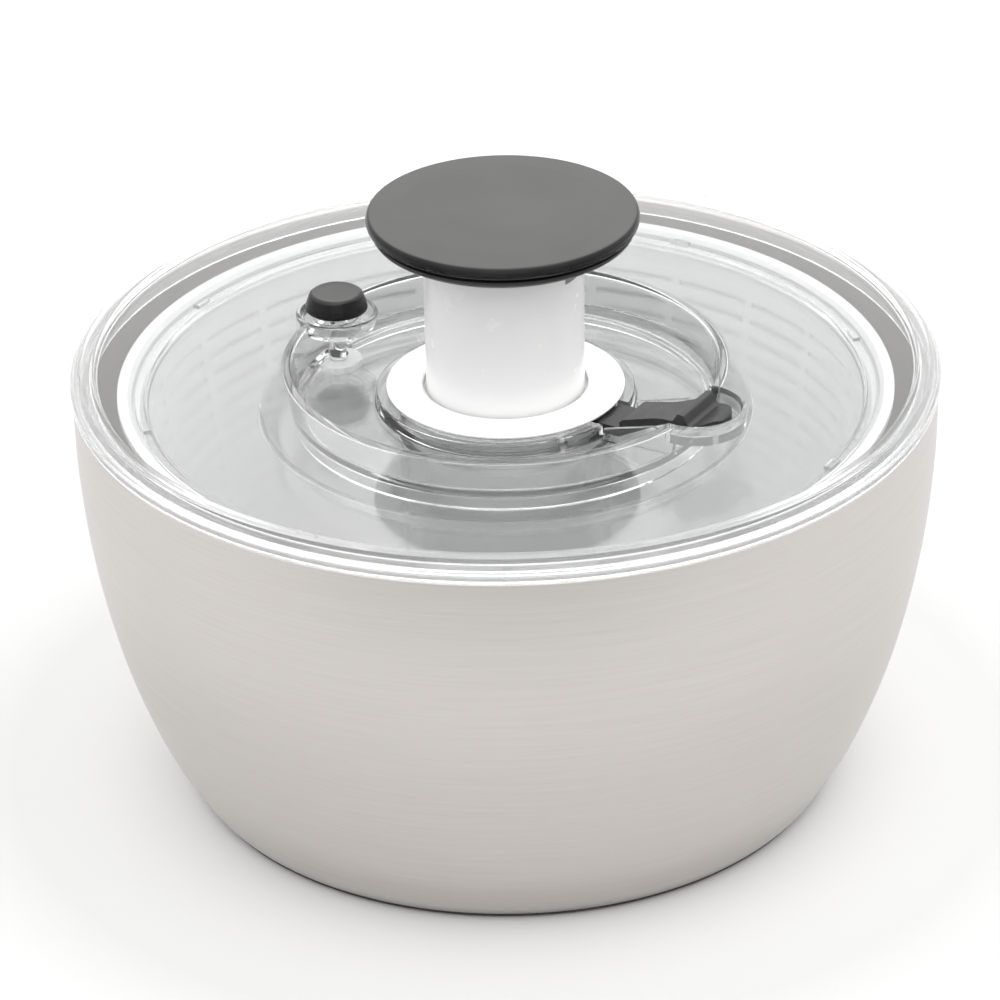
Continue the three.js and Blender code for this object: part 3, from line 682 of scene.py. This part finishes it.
def knob():
    """A broad soft cap with a rounded shoulder, over a satin dish."""
    cap = turned("knob_grip", rounded([
        (0, KNOB_DECK), (KNOB_R - 2.2, KNOB_DECK, 0.3), (KNOB_R - 0.4, KNOB_DECK + 1.0, 1.5),
        (KNOB_R, KNOB_DECK + 2.9, 2.0), (KNOB_R - 0.9, KNOB_TOP - 0.9, 1.3), (32.0, KNOB_TOP - 0.35, 20.0),
        (16.0, KNOB_TOP - 0.05, 20.0), (0, KNOB_TOP)], 8), ROUND_SMALL * 2)
    stands_for(cap, "knob_cap")
    deck = high("knob_base").z
    inner = TUBE_R + 0.3
    dish = turned("knob_dish", rounded([
        (inner, 180.2), (30, 180.0, 6.0), (36.6, 180.5, 5.0), (39.6, 182.3, 3.0), (40.5, deck, 0.4),
        (6.0, deck), (6.0, TUBE_TOP + 0.3), (inner, TUBE_TOP + 0.3)], 8), ROUND_SMALL * 2)
    return stands_for(dish, "knob_base")


# Brake button and lock lever

def button():
    """The brake button, its stem with a broad head, and the pad at the stem's foot."""
    skirt, roof = low("brake_button").z, high("brake_stem").z + 0.3
    cap = turned("button_grip", rounded([
        (0, BUTTON_TOP - 0.5), (5.6, BUTTON_TOP - 0.3, 3.0), (7.3, BUTTON_TOP, 0.8),
        (8.5, BUTTON_TOP - 0.8, 1.0), (9.4, skirt + 2.6, 2.0), (9.8, skirt + 0.9, 1.5), (9.8, skirt, 0.4),
        (8.6, skirt), (8.6, roof), (0, roof)], 8),
        96, BUTTON_X)
    stands_for(cap, "brake_button")
    pad_top, pad_bottom = high("brake_pad").z, low("brake_pad").z
    stem_r, head = 2.6, high("brake_stem").z
    stem = turned("button_stem", rounded([
        (0, head), (8.3, head, 0.4), (8.3, head - 1.3, 0.3), (stem_r, head - 1.3, 0.5),
        (stem_r, pad_top - 1.5, 0.3), (0, pad_top - 1.5)]), 64, BUTTON_X)
    stands_for(stem, "brake_stem")
    pad = turned("brake_shoe", rounded([
        (0, pad_bottom), (7.5, pad_bottom, 0.9), (7.5, pad_top, 0.4), (stem_r + 0.4, pad_top, 0.2),
        (stem_r + 0.4, pad_top - 1.8), (0, pad_top - 1.8)]), 64, BUTTON_X)
    return stands_for(pad, "brake_pad", PALE_RUBBER)


def lever():
    """The lock lever: a flat tongue, a step up to a ramp, and a finger tab with a ridge."""
    side = rounded([
        (28.2, 126.2), (44.5, 126.2), (47, 127.6, 3.0), (60.6, 134.4, 6.0), (77.2, 134.4, 0.6),
        (78.0, 135.6, 0.8), (77.8, 138.0, 0.8), (76.0, 138.5, 1.0), (69.4, 136.4, 1.5), (67.7, 139.9, 0.7),
        (65.5, 139.9, 0.7), (63.6, 136.9, 1.5), (45.4, 131.9, 0.5), (44.3, 130.9, 0.4), (44.3, 129.0, 0.4),
        (28.2, 129.0, 0.4)], 15)
    half = [(45, 7.0), (50, 6.6), (55, 6.2), (59, 6.7), (63.5, 8.6), (68, 9.3), (72.5, 8.3), (76, 5.6),
            (77.9, 2.6)]
    edge = curve_through(half, 5)
    plan = [(27, -3.5), (36.4, -3.5), (36.8, -7.0), *[(x, -y) for x, y in edge],
            *reversed(edge), (36.8, 7.0), (36.4, 3.5), (27, 3.5)]
    tab = sideways("lever_arm", side, -12, 12)
    combine(tab, [extruded("plan", plan, 120, 145)], "INTERSECT")
    soften(tab, 0.35)
    return stands_for(tab, "lock_lever")


# Turntable and the parts inside

def turntable():
    """The clear disc that turns the basket: a cup in its middle, the brake track, and tabs at its rim."""
    tabs_r, tabs = 114.4, 8
    disc = turned("turntable_disc", rounded([
        (4.3, 60.4), (31, 60.4, 1.5), (31, 115, 1.5), (70.6, 115, 1.5), (75.6, 122.6, 1.5),
        (110.6, 126.4, 0.8), (111.4, 129.0, 0.5), (114.8, 129.0, 0.5), (114.8, 126.8, 0.3),
        (112.0, 126.8, 0.3), (111.4, 124.6, 1.0), (76.6, 120.8, 1.5), (71.8, 113, 1.5), (33, 113, 1.5),
        (33, 59.4, 1.5), (31, 57.4, 0.8), (4.3, 57.4)]))
    clips = []
    for i in range(tabs):
        clip = brick(112, tabs_r, -3, 3, 128.6, 130.2)
        clip.data.transform(Matrix.Rotation(2 * math.pi * i / tabs, 4, "Z"))
        clips.append(clip)
    combine(disc, clips, "UNION")
    return stands_for(disc, "turntable", HAZY)


def coil(name, x, radius, top_radius, wire, bottom, top, turns):
    """A compression spring: round wire wound in a helix, which may narrow upwards, with its ends closed."""
    around, along = 12, 40
    points, faces = [], []
    count = int(turns * along)
    for k in range(count + 1):
        t = k / count
        a = 2 * math.pi * turns * t
        lift = bottom + wire + (top - bottom - 2 * wire) * t
        for i in range(around):
            b = 2 * math.pi * i / around
            r = radius + (top_radius - radius) * t + wire * math.cos(b)
            points.append((x + r * math.cos(a), r * math.sin(a), lift + wire * math.sin(b)))
    for k in range(count):
        for i in range(around):
            j = (i + 1) % around
            faces.append([k * around + i, k * around + j, (k + 1) * around + j, (k + 1) * around + i])
    faces.append(list(range(around)))
    faces.append(list(range(count * around, (count + 1) * around))[::-1])
    return make(name, points, faces)


def springs():
    """Both springs, each wound to fill the height of its CAD node."""
    for name, node, joint, x, radius, top_radius, wire, turns in (
        ("return_coil", "return_spring", "plunger_press", 0.0, 15.0, 15.0, 0.9, 7),
        ("button_coil", "button_spring", "brake_press", BUTTON_X, 7.8, 5.0, 0.3, 3),
    ):
        bottom, top = low(node).z, high(node).z
        piece = stands_for(coil(name, x, radius, top_radius, wire, bottom, top, turns), node)
        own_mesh(piece)


def shaft():
    """The drive shaft: a chamfered square bar twisted at its lead, a flange, and a journal with a flat."""
    lead, half, chamfer = 32.0, 4.2, 1.6
    bottom, top = 73.5, high("drive_shaft").z
    section = []
    for quarter in range(4):
        a = math.pi / 2 * quarter
        for y in (-(half - chamfer), half - chamfer):
            section.append((half * math.cos(a) - y * math.sin(a), half * math.sin(a) + y * math.cos(a)))
    rings = 120
    points, faces = [], []
    for k in range(rings + 1):
        z = bottom + (top - bottom) * k / rings
        a = 2 * math.pi * z / lead
        points += [(x * math.cos(a) - y * math.sin(a), x * math.sin(a) + y * math.cos(a), z)
                   for x, y in section]
    count = len(section)
    for k in range(rings):
        for i in range(count):
            j = (i + 1) % count
            faces.append([k * count + i, k * count + j, (k + 1) * count + j, (k + 1) * count + i])
    faces += [list(range(count))[::-1], list(range(rings * count, (rings + 1) * count))]
    bar = make("twisted_shaft", points, faces)
    journal = turned("journal", rounded([
        (0, 57.0), (4.0, 57.0, 0.4), (4.0, 71.9), (7.5, 71.9, 0.3), (7.5, 73.4, 0.3), (5, 74.5),
        (0, 74.5)]), 64)
    combine(bar, [journal], "UNION")
    combine(bar, [brick(3, 6, -6, 6, 50, 66.6), drum(1.8, 50, 67, 0, 24)], "DIFFERENCE")
    return stands_for(bar, "drive_shaft")


def hub_cap():
    """The shallow cap that closes the turntable's cup from below."""
    bottom, top = low("hub_cap").z, high("hub_cap").z
    cap = turned("hub_cover", rounded([
        (0, bottom), (8, bottom + 0.2, 3.0), (11.4, bottom + 2.1, 2.0), (12.4, top, 0.2), (11, top, 0.2),
        (10.2, 53.6, 1.0), (7.6, 52.2, 1.0), (0, 51.9)]), 96)
    return stands_for(cap, "hub_cap")


def finish_carried_nodes():
    """CAD nodes that keep their own shape get their slot's finish."""
    for node, piece in frame["nodes"].items():
        if piece.hide_render:
            continue
        for slot in piece.material_slots:
            slot.material = FINISHES[SLOT_OF[node]]


# Floor, light and camera

CAMERA_SIDE = (0.515, -0.857)  # the level direction from the object to the camera


def paint_floor_light_and_shade(paint):
    """The floor is painted greyer well in front of the object as painted shade, and paler close round its foot as
    painted light over the object's shadow.
    """
    place = paint.node("ShaderNodeTexCoord")
    # first row: painted shade on the floor in front of the object; second row: painted light round its foot
    for operation, across, tone, start, end in (
        ("DOT_PRODUCT", (*CAMERA_SIDE, 0), 0.58, 0.24, 0.5),
        ("LENGTH", None, 1.3, 0.16, 0.105),
    ):
        measure = paint.node("ShaderNodeVectorMath", operation=operation)
        paint.link(place.outputs["Object"], measure.inputs[0])
        if across:
            measure.inputs[1].default_value = across
        fade = paint.node("ShaderNodeMix", data_type="RGBA", blend_type="MULTIPLY")
        fade.inputs["B"].default_value = (tone, tone, tone, 1)
        socket = paint.shader.inputs["Base Color"]
        paint.link(socket.links[0].from_socket, fade.inputs["A"])
        paint.link(spread(paint.tree, measure.outputs["Value"], 0, 1, start, end), fade.inputs["Factor"])
        paint.link(fade.outputs["Result"], socket)


def floor():
    """A wide pale disc just under the foot."""
    top, thick, reach = -0.4, 4.0, 14000
    disc = turned("floor", [(0, top), (reach, top), (reach, top - thick), (0, top - thick)], 96)
    plain = Finish("floor_paint", Specular_IOR_Level=0.2)
    plain.colour(plain.noise(1.5), (0.53, 0.53, 0.53), (0.54, 0.54, 0.54))
    paint_floor_light_and_shade(plain)
    plain.rough(plain.noise(4), 0.7, 0.8)
    disc.data.materials.append(plain.material)


def studio():
    """White all round: brighter overhead, and darker on the open side, in front."""
    world = bpy.data.worlds.new("studio")
    world.use_nodes = True
    tree = world.node_tree
    nodes, links = tree.nodes, tree.links
    direction = nodes.new("ShaderNodeTexCoord")
    axes = nodes.new("ShaderNodeSeparateXYZ")
    links.new(direction.outputs["Generated"], axes.inputs["Vector"])
    rise = spread(tree, axes.outputs["Z"], 0.9, 2.3, 0.1, 0.85)
    front = nodes.new("ShaderNodeVectorMath")
    front.operation = "DOT_PRODUCT"
    front.inputs[1].default_value = (*CAMERA_SIDE, 0.1)
    links.new(direction.outputs["Generated"], front.inputs[0])
    open_side = spread(tree, front.outputs["Value"], 1.0, 0.5, 0.55, 1.0)
    strength = nodes.new("ShaderNodeMath")
    strength.operation = "MULTIPLY"
    links.new(rise, strength.inputs[0])
    links.new(open_side, strength.inputs[1])
    links.new(strength.outputs["Value"], nodes["Background"].inputs["Strength"])
    nodes["Background"].inputs["Color"].default_value = (1.0, 1.0, 1.0, 1)
    bpy.context.scene.world = world


def lamps():
    """A broad soft lamp overhead and a weak one in front, both aimed at the object's lower half."""
    for name, place, size, power in (
        ("overhead", (0.3, 0.2, 2.2), 1.8, 16.0),
        ("front_fill", (0.55, -0.9, 0.55), 0.9, 1.2),
    ):
        light = bpy.data.lights.new(name, "AREA")
        light.shape = "SQUARE"
        light.size = size
        light.energy = power
        lamp = bpy.data.objects.new(name, light)
        lamp.location = place
        lamp.rotation_euler = (Vector((0, 0, 0.1)) - Vector(place)).to_track_quat("-Z", "Y").to_euler()
        bpy.context.scene.collection.objects.link(lamp)


def camera():
    """A long lens from the front, turned a third of a quarter towards the lever's side."""
    data = bpy.data.cameras.new("camera")
    data.lens = 165.6
    data.sensor_width = 36.0
    data.clip_end = 60.0
    away, height = 1.2683, 0.77926
    azimuth = math.radians(31.0)
    yaw, pitch, roll = 0.001859, 0.49841, -0.017796
    lens = bpy.data.objects.new("camera", data)
    lens.matrix_world = (
        Matrix.Translation((away * math.sin(azimuth), -away * math.cos(azimuth), height))
        @ Matrix.Rotation(azimuth + yaw, 4, "Z")
        @ Matrix.Rotation(math.pi / 2 - pitch, 4, "X")
        @ Matrix.Rotation(roll, 4, "Z")
    )
    bpy.context.scene.collection.objects.link(lens)
    bpy.context.scene.camera = lens


bpy.context.scene.view_settings.view_transform = "Standard"
floor()
studio()
lamps()
camera()
bowl()
foot()
basket()
lid()
housing()
collar()
plunger()
knob()
button()
lever()
turntable()
springs()
shaft()
hub_cap()
finish_carried_nodes()
